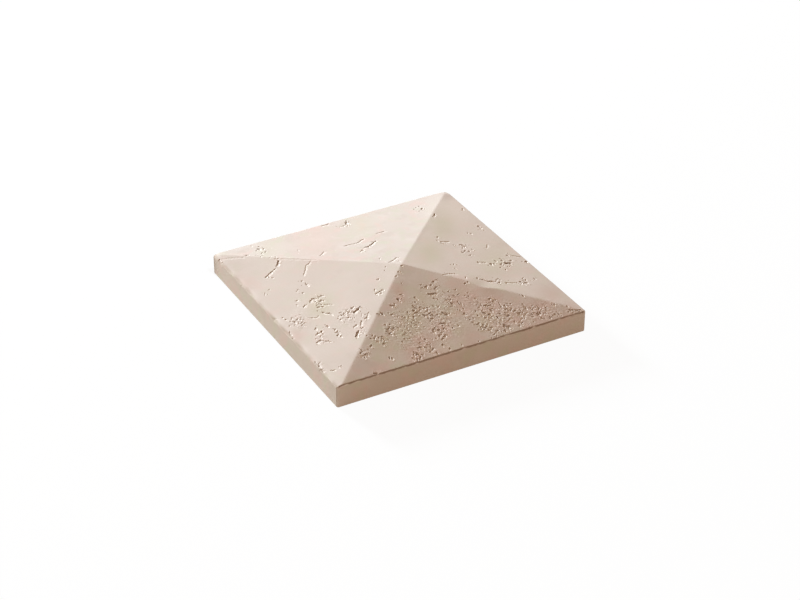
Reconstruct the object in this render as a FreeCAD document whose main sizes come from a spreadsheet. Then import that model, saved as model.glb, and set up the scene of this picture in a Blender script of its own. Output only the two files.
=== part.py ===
"""Four-way weathered pier cap: one cast stone piece that closes the top of a square pier.

A square slab has a straight edge band all round. Above the band four equal falls rise to a point, so
that rain runs off on every side. The upright corners, the ridges, the top arris and the foot edge are
rounded as they leave the mould, and a half-round drip groove runs round the underside inside the edge.

Millimetres, +Z up. The origin is the middle of the underside, and the sides lie square to X and Y.
"""

import FreeCAD, Part

import math
import os

import Sketcher
from FreeCAD import Vector

NODE = "pier_cap"
FOLDER = "parts"
SIDES = 4
TOUCHING = 1e-3

# Driving dimensions: alias, value in millimetres, meaning.
SIZES = (
    ("side", 500.0, "side of the square cap"),
    ("band_height", 42.0, "height of the straight edge band"),
    ("rise", 38.0, "rise of the falls from the band to the sharp point"),
    ("corner_radius", 4.0, "rounding of the upright corners"),
    ("ridge_radius", 12.0, "rounding of the ridges between the falls"),
    ("arris_radius", 2.5, "rounding where the falls meet the band"),
    ("foot_radius", 1.5, "rounding of the foot edge"),
    ("drip_inset", 22.0, "edge of the cap to the middle of the drip groove"),
    ("drip_radius", 5.0, "radius of the half-round drip groove"),
    ("drip_corner", 14.0, "radius of the drip groove's middle line at its corners"),
)


def make_sheet(doc):
    """The spreadsheet that every feature takes its sizes from."""
    sheet = doc.addObject("Spreadsheet::Sheet", "Sizes")
    for row, (alias, value, meaning) in enumerate(SIZES, start=1):
        sheet.set(f"A{row}", meaning)
        sheet.set(f"B{row}", str(value))
        sheet.setAlias(f"B{row}", alias)
    doc.recompute()
    return sheet


def origin_feature(body, role):
    """One of the body's own origin planes or axes."""
    return next(f for f in body.Origin.OriginFeatures if f.Role == role)


def new_sketch(body, name, plane_role):
    """An empty sketch on one of the body's own origin planes."""
    sketch = body.newObject("Sketcher::SketchObject", name)
    sketch.AttachmentSupport = [(origin_feature(body, plane_role), "")]
    sketch.MapMode = "FlatFace"
    return sketch


def bind(sketch, kind, geometry, name, expression):
    """Adds a dimension to a sketch, names it and binds it to the sheet."""
    value = sketch.evalExpression(expression)
    index = sketch.addConstraint(Sketcher.Constraint(kind, *geometry, float(value)))
    sketch.renameConstraint(index, name)
    sketch.setExpression(f"Constraints.{name}", expression)


def close_ring(sketch, items, kind):
    """Joins each item's end to the next item's start."""
    for item, following in zip(items, items[1:] + items[:1]):
        sketch.addConstraint(Sketcher.Constraint(kind, item, 2, following, 1))


def level_sides(sketch, lines):
    """Four sides in order: along X, along Y, along X, along Y, all of one length, about the origin."""
    for line, direction in zip(lines, ("Horizontal", "Vertical", "Horizontal", "Vertical")):
        sketch.addConstraint(Sketcher.Constraint(direction, line))
    sketch.addConstraint(Sketcher.Constraint("Equal", lines[0], lines[1]))
    sketch.addConstraint(Sketcher.Constraint("Symmetric", lines[0], 1, lines[2], 1, -1, 1))


def add_fillet(body, name, base, edges, size):
    """Rounds the chosen edges of a feature by one of the sheet's radii."""
    numbers = [i for i, edge in enumerate(base.Shape.Edges, start=1) if any(edge.isSame(e) for e in edges)]
    fillet = body.newObject("PartDesign::Fillet", name)
    fillet.Base = (base, [f"Edge{i}" for i in numbers])
    fillet.setExpression("Radius", f"Sizes.{size}")
    body.Tip = fillet
    body.Document.recompute()
    return fillet


def confirm_cut(before, after):
    """Stops if a cut took nothing away."""
    if after.Shape.Volume > before.Shape.Volume - TOUCHING:
        raise RuntimeError(f"{after.Name} cuts nothing")


def add_lines(sketch, corners):
    """A closed ring of straight lines through the corners, in their order."""
    ends = zip(corners, corners[1:] + corners[:1])
    lines = [sketch.addGeometry(Part.LineSegment(*pair)) for pair in ends]
    close_ring(sketch, lines, "Coincident")
    return lines


def make_block(body, sheet):
    """The block that the falls are cut from: half a rise taller than the point, with rounded corners."""
    sketch = new_sketch(body, "footprint", "XY_Plane")
    half = sheet.side / 2
    signs = ((-1, -1), (1, -1), (1, 1), (-1, 1))
    lines = add_lines(sketch, [Vector(half * x, half * y) for x, y in signs])
    level_sides(sketch, lines)
    bind(sketch, "DistanceX", (lines[0], 1, lines[0], 2), "side", "Sizes.side")
    block = body.newObject("PartDesign::Pad", "block")
    block.Profile = sketch
    block.setExpression("Length", "Sizes.band_height + Sizes.rise + Sizes.rise / 2")
    body.Document.recompute()
    upright = [e for e in block.Shape.Edges if e.BoundBox.ZLength > TOUCHING]
    return add_fillet(body, "corner_rounding", block, upright, "corner_radius")


def cut_falls(body, sheet, block):
    """Cuts one fall and repeats it about the upright axis.

    The wedge that is cut away lies over a slope from the arris through the cap's point to the far side,
    where the slope is one more rise up.
    """
    sketch = new_sketch(body, "fall_section", "XZ_Plane")
    half = sheet.side / 2
    past = half + sheet.rise
    low = sheet.band_height - sheet.rise**2 / half
    top = sheet.band_height + 2 * sheet.rise
    upright, level, slope = add_lines(sketch, [Vector(past, low), Vector(past, top), Vector(-half, top)])
    sketch.addConstraint(Sketcher.Constraint("Vertical", upright))
    sketch.addConstraint(Sketcher.Constraint("Horizontal", level))
    arris = sketch.addGeometry(Part.Point(Vector(half, sheet.band_height)), True)
    sketch.addConstraint(Sketcher.Constraint("PointOnObject", arris, 1, slope))
    bind(sketch, "DistanceX", (-1, 1, arris, 1), "arris_across", "Sizes.side / 2")
    bind(sketch, "DistanceY", (-1, 1, arris, 1), "arris_up", "Sizes.band_height")
    bind(sketch, "DistanceX", (-1, 1, level, 1), "wedge_past", "Sizes.side / 2 + Sizes.rise")
    bind(sketch, "DistanceY", (-1, 1, level, 1), "wedge_top", "Sizes.band_height + 2 * Sizes.rise")
    bind(sketch, "DistanceX", (level, 2, level, 1), "wedge_length", "Sizes.side + Sizes.rise")
    fall = body.newObject("PartDesign::Pocket", "fall")
    fall.Profile = sketch
    fall.Type = "ThroughAll"
    fall.SideType = "Symmetric"
    body.Document.recompute()
    confirm_cut(block, fall)
    falls = body.newObject("PartDesign::PolarPattern", "falls")
    falls.Originals = [fall]
    falls.Axis = (origin_feature(body, "Z_Axis"), [""])
    falls.Angle = 360
    falls.Occurrences = SIDES
    body.Tip = falls
    body.Document.recompute()
    confirm_cut(fall, falls)
    return falls


def round_ridges(body, sheet, falls):
    """Rounds the four edges that meet at the point."""
    point = Vector(0, 0, sheet.band_height + sheet.rise)
    ridges = [e for e in falls.Shape.Edges if any((v.Point - point).Length < TOUCHING for v in e.Vertexes)]
    return add_fillet(body, "ridge_rounding", falls, ridges, "ridge_radius")


def round_arris(body, sheet, base):
    """Rounds the edges where the upright faces of the band end in the falls."""
    upright = [f for f in base.Shape.Faces if f.BoundBox.ZMin < TOUCHING < f.BoundBox.ZMax]
    arris = [e for f in upright for e in f.Edges if e.BoundBox.ZMin > sheet.band_height / 2]
    return add_fillet(body, "arris_rounding", base, arris, "arris_radius")


def round_foot(body, base):
    """Rounds the edge round the underside."""
    underside = next(f for f in base.Shape.Faces if f.BoundBox.ZMax < TOUCHING)
    return add_fillet(body, "foot_rounding", base, underside.OuterWire.Edges, "foot_radius")


def draw_drip_line(body, sheet, reach):
    """The middle line of the drip groove: a square with rounded corners."""
    path = new_sketch(body, "drip_line", "XY_Plane")
    straight = reach - sheet.drip_corner
    bulge = straight + sheet.drip_corner * math.sqrt(0.5)
    runs, bends = [], []
    for turn in range(SIDES):
        spin = FreeCAD.Rotation(Vector(0, 0, 1), turn * 360 / SIDES)
        start, end = (spin.multVec(Vector(x, -reach)) for x in (-straight, straight))
        runs.append(path.addGeometry(Part.LineSegment(start, end)))
        middle, after = (spin.multVec(v) for v in (Vector(bulge, -bulge), Vector(reach, -straight)))
        bends.append(path.addGeometry(Part.Arc(end, middle, after)))
    close_ring(path, [item for pair in zip(runs, bends) for item in pair], "Tangent")
    level_sides(path, runs)
    for bend in bends[1:]:
        path.addConstraint(Sketcher.Constraint("Equal", bends[0], bend))
    bind(path, "Radius", (bends[0],), "corner", "Sizes.drip_corner")
    bind(path, "DistanceX", (runs[3], 1, runs[1], 1), "across", "Sizes.side - 2 * Sizes.drip_inset")
    return path


def cut_drip(body, sheet, base):
    """Sweeps a circle on the underside along the drip line, which leaves a half-round groove."""
    reach = sheet.side / 2 - sheet.drip_inset
    path = draw_drip_line(body, sheet, reach)
    profile = new_sketch(body, "drip_section", "XZ_Plane")
    ring = profile.addGeometry(Part.Circle(Vector(reach, 0), Vector(0, 0, 1), sheet.drip_radius))
    profile.addConstraint(Sketcher.Constraint("PointOnObject", ring, 3, -1))
    bind(profile, "DistanceX", (-1, 1, ring, 3), "reach", "Sizes.side / 2 - Sizes.drip_inset")
    bind(profile, "Radius", (ring,), "radius", "Sizes.drip_radius")
    drip = body.newObject("PartDesign::SubtractivePipe", "drip_groove")
    drip.Profile = profile
    drip.Spine = path
    body.Tip = drip
    body.Document.recompute()
    confirm_cut(base, drip)


def check(doc, body):
    """Stops if any object failed, or the finished piece isn't one valid solid."""
    failed = [o.Name for o in doc.Objects if {"Invalid", "Error"} & set(o.State)]
    if failed:
        raise RuntimeError(f"these objects failed to build: {failed}")
    shape = body.Shape
    if shape.isNull() or not shape.isValid() or len(shape.Solids) != 1:
        raise RuntimeError("the pier cap isn't one valid solid")


def main():
    doc = FreeCAD.newDocument("PierCap")
    sheet = make_sheet(doc)
    body = doc.addObject("PartDesign::Body", "PierCap")
    body.Label = NODE
    block = make_block(body, sheet)
    falls = cut_falls(body, sheet, block)
    ridges = round_ridges(body, sheet, falls)
    arris = round_arris(body, sheet, ridges)
    foot = round_foot(body, arris)
    cut_drip(body, sheet, foot)
    doc.recompute()
    check(doc, body)
    print(f"{NODE}: {body.Shape.Volume:.0f} mm3")
    os.makedirs(FOLDER, exist_ok=True)
    body.Shape.exportStep(os.path.join(FOLDER, f"{body.Label}.step"))


main()
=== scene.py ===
"""Looks of the cast stone pier cap: pitted falls, smooth edge band, studio light and the picture's view.

Metres, +Z up, in the frame of the solid. The cap lies on the floor, with its nearest corner at -X, -Y.
Pixel coordinates are those of the 800 x 600 picture, and each stands for the place on the falls seen there.
"""

import math
from collections import namedtuple

import bpy
import numpy as np
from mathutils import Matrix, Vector


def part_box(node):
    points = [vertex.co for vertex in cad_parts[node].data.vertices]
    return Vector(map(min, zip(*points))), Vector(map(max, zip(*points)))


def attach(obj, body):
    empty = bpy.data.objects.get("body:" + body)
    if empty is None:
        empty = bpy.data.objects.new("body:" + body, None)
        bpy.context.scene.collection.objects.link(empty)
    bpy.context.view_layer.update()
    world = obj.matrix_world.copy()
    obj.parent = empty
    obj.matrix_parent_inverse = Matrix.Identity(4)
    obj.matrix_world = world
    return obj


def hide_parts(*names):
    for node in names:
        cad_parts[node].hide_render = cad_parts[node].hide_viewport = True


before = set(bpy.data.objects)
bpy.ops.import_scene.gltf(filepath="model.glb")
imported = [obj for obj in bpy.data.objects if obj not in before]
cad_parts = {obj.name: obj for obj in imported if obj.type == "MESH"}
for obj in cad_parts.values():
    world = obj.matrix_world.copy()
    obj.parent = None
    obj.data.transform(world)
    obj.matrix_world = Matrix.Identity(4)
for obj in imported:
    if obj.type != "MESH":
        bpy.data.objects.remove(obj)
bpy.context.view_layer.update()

NODE = "pier_cap"
BODY = "root"
SEED = 4127

# The picture's view: where the camera stands, seen from the cap, and how long its lens is.
IMAGE_SIZE = np.array((800.0, 600.0))
FOCAL_PIXELS = 2166.5
SENSOR_WIDTH = 36.0
VIEW_AZIMUTH = math.radians(-28.87)
VIEW_ELEVATION = math.radians(32.16)
VIEW_DISTANCE = 3.968
VIEW_TARGET = np.array((0.00976, 0.00067, 0.0))

# The cap's form, as in the solid.
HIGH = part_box(NODE)[1]
HALF = HIGH.x
SIDE = 2 * HALF
BAND_HEIGHT = 0.042
RISE = 0.038
CORNER_RADIUS = 0.004
ARRIS_RADIUS = 0.0025
FOOT_RADIUS = 0.0015
DRIP_INSET = 0.022
DRIP_RADIUS = 0.005
DRIP_CORNER = 0.014
FALL_SLOPE = math.atan2(RISE, HALF)
# Where the falls end and the rounding of the arris starts.
RIM_INSET = ARRIS_RADIUS * (1 - math.sin(FALL_SLOPE))
# The cast point lies this far from the middle, within the tolerance of hand casting.
POINT = np.array((0.0108, -0.0038))
# Height over which two falls run into each other at a ridge.
RIDGE_BLEND = 0.0005
# Steps that bring a line of sight onto the falls.
SIGHT_STEPS = 30

# Mesh: cells along a side of the falls, rings of the band, foot and groove, triangles left after thinning.
CELLS = 1024
ARRIS_RINGS = 5
LIP_RINGS = 9
BAND_RINGS = 8
FOOT_RINGS = 3
DRIP_RINGS = 10
LIP_SHARE = 0.16
BED_SHRINK = 0.9
BED_CELLS = 8
TRIANGLES = 196_000
# Thinning leaves the falls whole this near to the rough lip.
LIP_KEPT = 0.002
# Cells along a side of the maps of wear, and how sharply a map leaves out waves shorter than its own.
MAP_CELLS = 1536
WAVE_CUT = 2.0
# An edge that turns by more than this stays sharp.
SHARP_ANGLE = math.radians(40)

# Sizes of wear: half the width of one bite, and its depth.
Wear = namedtuple("Wear", "half_width depth")
GOUGE = Wear(0.0015, 0.0022)
CUT = Wear(0.0011, 0.0012)
SCRATCH = Wear(0.0009, 0.0006)
RIDGE_LINE = Wear(0.0012, 0.0003)
PIT = Wear(0.0011, 0.0011)
SPECK = Wear(0.0009, 0.0010)
Bite = namedtuple("Bite", "x y half_length half_width turn depth")
# How uneven the bites are: off the line, turned, longer than wide, deeper or shallower.
BITE_STRAY = 0.35
BITE_TURN = 0.45
BITE_LENGTH = (1.2, 2.8)
BITE_WIDTH = (0.7, 1.15)
BITE_DEPTH = (0.6, 1.15)
BITE_RAGGED = 0.3
RAGGED_WAVE = 0.003
# A bite runs out gently on the side away from the key, by this share.
RUN_OUT = 0.66
# A bite is drawn up to this many half lengths from its middle.
BITE_REACH = 3.2
# The run-out facing the key gets a painted highlight: start in half widths, end by bite size, full depth.
LIT_RUN_OUT_START = (0.2, 0.9)
LIT_RUN_OUT_END = (0.85, 1.2)
LIT_RUN_OUT_DEPTH = 0.0010
# The crumbly rim of a bite: its place and width by the bite's own size, and its height by the depth.
RIM_PLACE = 1.3
RIM_WIDTH = 0.35
RIM_HEIGHT = 0.10
# A rim ends where a neighbouring bite is this deep.
RIM_END = 0.0002
# A mark is a pit's shaded side. The pit's middle lies this share of a half width further from the key.
SHADE_OFFSET = 0.4

# Deep gouges of all four falls, as runs of pixels.
GOUGES = (
    ((358, 308), (353, 313)),
    ((278.2, 260.6), (277, 264.5)),
    ((345.8, 220.5), (346.3, 224.3)),
    ((357.8, 331), (355.2, 336)),
    ((505, 262.8), (510, 262.8)),
    ((428.5, 293.7), (435.7, 292.1)),
    ((482, 312), (484.5, 312.5)),
    ((487, 314.5), (489, 313)),
)
# Deep single holes.
HOLES = (
    (401.3, 265), (525.3, 260.9), (458.8, 303.2), (446, 314), (528.5, 327.1), (321.5, 331), (491, 310),
)
# Faint thin fissures of all four falls.
FAINT_CUTS = (
    ((310, 262), (308.5, 263.5), (305.8, 265.5), (305.5, 268.7), (304.3, 272.7), (303.5, 275.5)),
    ((389.4, 262), (393.3, 260), (397, 257.3)),
    ((325, 304.3), (332.7, 304.3)),
    ((308.3, 317.8), (314.7, 317.8), (317.5, 316.8), (319, 315.5)),
    ((320, 255.5), (324, 252)),
    ((321.5, 226), (328.4, 224.4), (334.7, 226.4), (339.4, 227.2), (345.6, 224.8)),
    ((269, 317), (272, 318), (277, 318.3)),
    ((344.5, 246), (352, 244.2), (358, 242.6), (363.4, 239.2)),
    ((360, 252), (364.6, 247.4)),
    ((376.5, 233.6), (384, 231.4)),
    ((487, 244.2), (487, 247.5)),
    ((510, 255), (514, 256), (521, 256.7)),
    ((480, 262), (486, 262.2)),
    ((442.8, 274.5), (446, 274), (450, 273.3), (456, 274)),
    ((485, 280.4), (496, 281.4)),
    ((506, 282.4), (516.5, 282.8)),
    ((441, 241.8), (449, 241.4)),
    ((526.9, 312), (522.5, 317.5), (518.5, 322.8)),
)
# Faint lines along the left ridge.
RIDGE_LINES = (
    ((222, 259), (230, 258.2), (243, 257.4)),
    ((281, 258.8), (292, 259), (304, 259.3), (316, 259.4)),
)
# Fissures and pits of the near left fall.
NEAR_LEFT_CUTS = (
    ((277, 264.5), (276, 266.5)),
    ((274.8, 268.7), (270, 273.2), (265.6, 277)),
    ((305.2, 282.4), (307, 284.7)),
    ((305.6, 304.7), (303.2, 307)),
    ((310, 302.5), (311.5, 298.7), (314, 298.5)),
    ((318.5, 296.5), (322.5, 295.5)),
    ((321.5, 299.8), (319, 302)),
    ((318.3, 303.5), (322.5, 304.5)),
    ((317, 307.3), (319, 306.5)),
    ((322, 312), (324, 313), (329.9, 313.4), (331, 314.5)),
    ((285, 319), (287, 319.8)),
    ((293, 321.5), (295, 322.5)),
    ((302, 324.2), (304, 326)),
    ((314.7, 329), (316, 328)),
    ((317.5, 333.8), (319, 332.8)),
    ((326.7, 325.8), (328.5, 327)),
    ((333, 328.6), (335.5, 330)),
    ((337.5, 331), (338.8, 334)),
    ((317, 342), (320.5, 339.5)),
    ((319.5, 340.2), (323.5, 341), (328, 341)),
    ((341, 315.4), (343.5, 314.5)),
    ((347.8, 313.4), (350, 311)),
    ((347.4, 318.6), (349, 316.5)),
    ((351, 309), (354, 306.5)),
    ((353, 327), (356.5, 324.5)),
    ((364.7, 318.4), (366.5, 317.5), (368.3, 312.5)),
    ((361, 321.2), (360.7, 325.2)),
    ((361.5, 328), (363, 327)),
    ((365.5, 336), (367, 335)),
    ((375.5, 294), (378, 292), (383.4, 289.3)),
    ((398, 272.3), (398.6, 270.5)),
    ((395.3, 276.4), (396.3, 275.4)),
    ((289, 332.5), (290.5, 334)),
    ((314.7, 361.5), (316, 362.5), (318.5, 363.5), (319.5, 366)),
    ((321, 369.5), (323, 371)),
    ((331, 370.5), (333.5, 370.2)),
    ((219, 259.5), (220.3, 262.5)),
)
NEAR_LEFT_PITS = (
    (291.6, 318.2), (296.4, 319.4), (271, 256), (275, 256.7), (277, 258.7), (269, 277.5), (272.5, 277.7),
    (302, 280.4), (296.4, 291), (302.4, 292.7), (296.8, 300.3), (296.8, 304.7), (322, 306.3),
    (264.5, 293.7), (262, 293), (269.3, 289.5), (267, 294.5), (282.8, 317.4), (288.8, 325.8), (290, 321),
    (298.5, 322.5), (300.5, 323), (299, 327), (337, 335.5), (340.6, 336.6), (321, 337.8), (338, 316.3),
    (345, 318), (350.5, 317.5), (354.3, 317.5), (337.5, 318.5), (363, 332.3), (375, 289.2), (377, 295),
    (378, 279), (385.6, 266.4), (384.6, 270), (379, 258.6), (398.6, 260.6), (240.6, 284.4),
    (292.4, 337.4), (338.8, 367),
)
# Fissures and pits of the far left fall.
FAR_LEFT_CUTS = (
    ((244, 255.2), (248, 255)),
    ((256.8, 248.8), (260, 249.4)),
    ((375.8, 240.8), (371, 244.4), (367.8, 246.8), (364.6, 247.2)),
    ((434.6, 214), (433, 216.5)),
)
FAR_LEFT_PITS = (
    (246, 255.2), (251.2, 246), (263.2, 248.5), (266, 250.8), (261.2, 253.2), (256, 255.2),
    (260.8, 256.3), (268.8, 257.7), (298, 250), (378, 232.8), (346, 245.6), (362.8, 250.5), (414, 209),
    (419, 211), (421.6, 208.7),
)
# Fissures and pits of the far right fall.
FAR_RIGHT_CUTS = (
    ((477.8, 225.7), (480, 228)),
    ((479.5, 278.9), (484, 278.9)),
    ((488, 280.9), (492, 281)),
    ((519.5, 281.5), (521.3, 282.8)),
)
FAR_RIGHT_PITS = (
    (462, 208.7), (467, 232.8), (471, 233.2), (437.2, 236.8), (437, 240), (441.6, 242.8), (453.5, 244.8),
    (460.7, 244.4), (464.3, 250.4), (468.7, 251.2), (470, 254.8), (471.5, 248.8), (507.6, 253),
    (507.3, 255), (501, 260.7), (501, 263.9), (510.5, 260.3), (503, 265), (477.8, 262), (491, 263.9),
    (493.8, 260.3), (493.8, 263.5), (506, 269.5), (454, 263.8), (454.7, 268), (465.3, 276.6),
    (467.3, 281.5), (464.7, 283), (477, 277.7), (497, 282.6), (499, 282), (506.6, 282.5), (525.3, 282.3),
    (523.5, 283.5), (534.5, 278.6), (523, 295),
)
# Fissures and pits of the near right fall.
NEAR_RIGHT_CUTS = (
    ((433.3, 281), (431.8, 281.8)),
    ((425.7, 285.7), (423.5, 286.5)),
    ((434, 288.5), (435, 287)),
    ((414.5, 297), (415.2, 298)),
    ((446, 299.2), (444.5, 298.5)),
    ((450.8, 302.8), (452.5, 304)),
    ((393.4, 305.2), (389.4, 305.2)),
    ((381, 312.8), (382.5, 314.5)),
    ((376.7, 314), (379, 313.6)),
    ((414.5, 307.2), (416.5, 308)),
    ((424.5, 315.2), (427.7, 314), (430, 312)),
    ((442, 312.4), (443.5, 313)),
    ((440, 323), (444.5, 322.6)),
    ((388.2, 328.3), (386, 329.5)),
    ((393.4, 328.3), (391, 328.6)),
    ((389.8, 332.7), (387.5, 333.2)),
    ((433, 328.8), (433, 331.2)),
    ((437.3, 329.5), (439, 330.5)),
    ((444, 335.5), (445, 334.8)),
    ((441.2, 338.7), (443, 337.5)),
    ((383.4, 342.7), (382.5, 344)),
    ((370, 346), (371, 344.5)),
    ((417.7, 347), (420, 346.5)),
    ((441.6, 345), (442.8, 344)),
    ((417.7, 353.4), (415.5, 354.5)),
    ((374.6, 373.3), (377, 373)),
    ((487.8, 298.8), (489.5, 297.8)),
    ((484.6, 304.8), (486.5, 303.8)),
    ((508, 309.6), (506, 308)),
    ((519, 313.6), (519.5, 312)),
    ((507, 316), (509, 315)),
    ((476.7, 323.8), (478.3, 322)),
    ((486, 326), (484, 327)),
    ((507.8, 327), (508.8, 325)),
    ((503.4, 326), (504.5, 324.5)),
    ((504.6, 329), (505.5, 330.5)),
    ((518.5, 325.6), (519.5, 324.5)),
    ((538, 314), (539.5, 312.5)),
    ((569, 309.3), (575, 309.6), (581, 309.4)),
    ((573, 315), (578, 313.8), (582.5, 312.5)),
)
NEAR_RIGHT_PITS = (
    (401.4, 283), (420.5, 284.5), (430, 284.5), (442, 291), (448, 291), (454.8, 289), (434, 298),
    (437.2, 298.5), (440.8, 296), (457.5, 301.5), (397.6, 299.3), (388.2, 312.4), (391.8, 313.6),
    (419, 307.2), (413, 310.4), (415.7, 312), (425.7, 310.8), (419.7, 315.2), (431.7, 314), (437, 314),
    (438, 306.4), (430, 321.2), (418.5, 322), (414.3, 325.5), (448.8, 324.8), (458.4, 325.2),
    (386, 331.5), (441.2, 332), (370.3, 338), (374.3, 337.5), (381.5, 338), (381, 340), (401.8, 341),
    (424.5, 338.7), (424.5, 346.7), (448.8, 348.2), (360, 352.4), (365, 354.2), (389, 357.8),
    (391.4, 357.8), (412, 357.4), (414.5, 359), (419.5, 356.5), (422.5, 355), (429.6, 351), (436.8, 353),
    (495, 299.6), (503.8, 305.6), (510, 311), (505, 312), (519, 309.2), (522, 303.6), (497, 317.2),
    (510, 318), (477.5, 314.8), (472.5, 318), (480.7, 328.7), (490.2, 328.7), (514, 321.2), (543.6, 318),
    (532, 309), (494, 333.5), (478.3, 340.7), (460.7, 344.3), (568, 311), (572.5, 312), (579, 311.2),
    (549.5, 316.5),
)
# Clusters of specks: middle, reach and number.
NEAR_LEFT_CLUSTERS = (
    (298, 321, 7, 14), (320, 300, 5, 10), (346, 316, 7, 14), (365, 318, 4, 7), (320, 338, 5, 7),
    (338, 333, 3, 4), (318, 365, 4, 6), (379, 292, 4, 4), (361, 330, 4, 5),
)
FAR_LEFT_CLUSTERS = ((261, 251, 5, 7), (419, 210, 4, 3))
FAR_RIGHT_CLUSTERS = ((466, 249, 5, 8), (505, 263, 5, 9), (523, 282, 4, 8), (498, 282, 4, 7))
NEAR_RIGHT_CLUSTERS = (
    (450, 302, 8, 16), (485, 309, 9, 28), (505, 309, 7, 18), (520, 310, 6, 13), (535, 312, 7, 14),
    (470, 316, 6, 10), (484, 325, 6, 12), (505, 326, 6, 12), (417, 356, 6, 16), (426, 344, 7, 14),
    (418, 309, 7, 15), (428, 313, 6, 12), (390, 330, 6, 13), (383, 340, 5, 9), (364, 353, 5, 9),
    (375, 338, 4, 6), (398, 299, 5, 6), (412, 318, 9, 15), (440, 333, 6, 10), (400, 322, 9, 13),
    (495, 333, 5, 9), (546, 311, 8, 14), (436, 353, 5, 6), (376, 373, 4, 4), (460, 305, 5, 7),
    (560, 310, 7, 8), (470, 300, 8, 9), (440, 318, 14, 14), (500, 318, 14, 15), (410, 335, 14, 12),
    (450, 325, 12, 10), (530, 315, 10, 8),
)
CLUSTERS = NEAR_LEFT_CLUSTERS + FAR_LEFT_CLUSTERS + FAR_RIGHT_CLUSTERS + NEAR_RIGHT_CLUSTERS
# The marks of each fall, and their width and depth by the sizes of wear.
FALL_MARKS = (
    (1.00, 0.75, NEAR_LEFT_CUTS, NEAR_LEFT_PITS, NEAR_LEFT_CLUSTERS),
    (1.00, 1.00, FAR_LEFT_CUTS, FAR_LEFT_PITS, FAR_LEFT_CLUSTERS),
    (1.15, 1.20, FAR_RIGHT_CUTS, FAR_RIGHT_PITS, FAR_RIGHT_CLUSTERS),
    (1.15, 1.50, NEAR_RIGHT_CUTS, NEAR_RIGHT_PITS, NEAR_RIGHT_CLUSTERS),
)
# Specks lie about this way in the plan.
SPECK_TURN = math.radians(33)
SPECK_STRAY = 0.5
# Crumbly ground of the clusters: its reach by the cluster's, the number of specks at which it is roughest.
ROUGH_REACH = 1.1
ROUGH_NUMBER = 13
ROUGH_WAVE = 0.0032
ROUGH_HEIGHT = 0.0001

# Where the ridge between the two right falls lies nearer than in an even cast: place, reach, height.
RIDGE_SHIFT = np.array((0.118, -0.114))
SHIFT_REACH = 0.020
SHIFT_HEIGHT = 0.0010
# Low swells of the falls.
SWELL_WAVE = 0.06
SWELL_HEIGHT = 0.00012
# The near corner of the near right fall lies this much higher than in an even cast.
CORNER_RISE = 0.0012
# Blunt corners of the falls: which one, and how deep they are worn, within their reach.
BLUNT_CORNERS = ((1, 1, 0.0025), (-1, 1, 0.0015))
BLUNT_REACH = 0.010
# Wear of the near left arris: its depth, how far it reaches into the fall, and how uneven it is.
WORN_DEPTH = 0.0009
WORN_REACH = 0.007
WORN_WAVE = 0.03
WORN_UNEVEN = 0.5
# The foot of the left band rises toward the far corner: how much, and how far past the corner it still does.
FOOT_LIFT = 0.0025
LIFT_REACH = 0.03
# Half the width, at the corners, over which the worn arris turns into a crisp one.
WORN_TURN = 0.012

# The rough lip of the near right arris: its waves, and the start, edge, reach and depth of its hollow.
LIP_WAVE = 0.008
LIP_START = -0.0006
LIP_WAVER = 0.00012
LIP_EDGE = 0.0005
LIP_REACH = 0.0030
LIP_DEPTH = 0.0012
LIP_UNEVEN = 0.20
# Below the arris a pit of the fall fades within this depth.
PIT_FADE = 0.004
# Depths below the band's top between which its colour comes in, at the crisp arrises and the worn one.
CRISP_EDGE = (0.0006, 0.0017)
WORN_EDGE = (-0.0005, 0.0013)

# Colour patches of the falls: middle, reach and strength.
RUSTY = (
    (467, 296, 13, 0.8), (399, 291, 6, 0.9), (490, 306, 14, 0.9), (514, 312, 14, 0.6), (416, 357, 9, 1.0),
    (440, 330, 12, 0.6), (425, 343, 10, 0.9), (540, 314, 16, 0.8), (470, 342, 14, 0.5),
    (380, 373, 12, 0.5), (400, 298, 6, 0.9), (570, 311, 10, 0.6), (296, 337, 7, 0.6), (455, 300, 7, 0.7),
    (352, 380, 8, 0.4), (240, 288, 14, 0.5), (315, 240, 24, 0.5), (462, 286, 8, 0.5), (552, 296, 10, 0.5),
)
OCHRE = (
    (320, 306, 13, 0.9), (443, 226, 12, 0.7), (495, 262, 14, 0.6), (450, 310, 9, 0.6),
    (412, 318, 14, 0.9), (484, 322, 8, 0.9), (430, 252, 12, 0.8), (400, 332, 14, 0.6),
    (395, 345, 10, 0.5), (360, 226, 14, 0.5), (460, 328, 10, 0.5), (270, 248, 12, 0.4),
    (385, 348, 14, 0.5), (422, 298, 12, 0.5), (446, 346, 10, 0.4),
)
GRIMY = (
    (550, 290, 24, 0.25), (566, 309, 22, 0.3), (447, 195, 5, 0.5), (356, 366, 14, 0.25),
    (226, 268, 18, 0.3), (387, 312, 13, 0.22), (541, 311, 16, 0.34), (252, 271, 13, 0.15),
)
PALE = ((455, 212, 26, 0.95), (465, 248, 40, 0.6), (430, 243, 10, 0.5), (320, 241, 14, 0.3))
# Painted light makes the near left and far right falls paler; at the ridges it changes within this width.
PAINTED_LIGHT_SHARE = 0.5
PAINTED_LIGHT_WIDTH = 0.006

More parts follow.
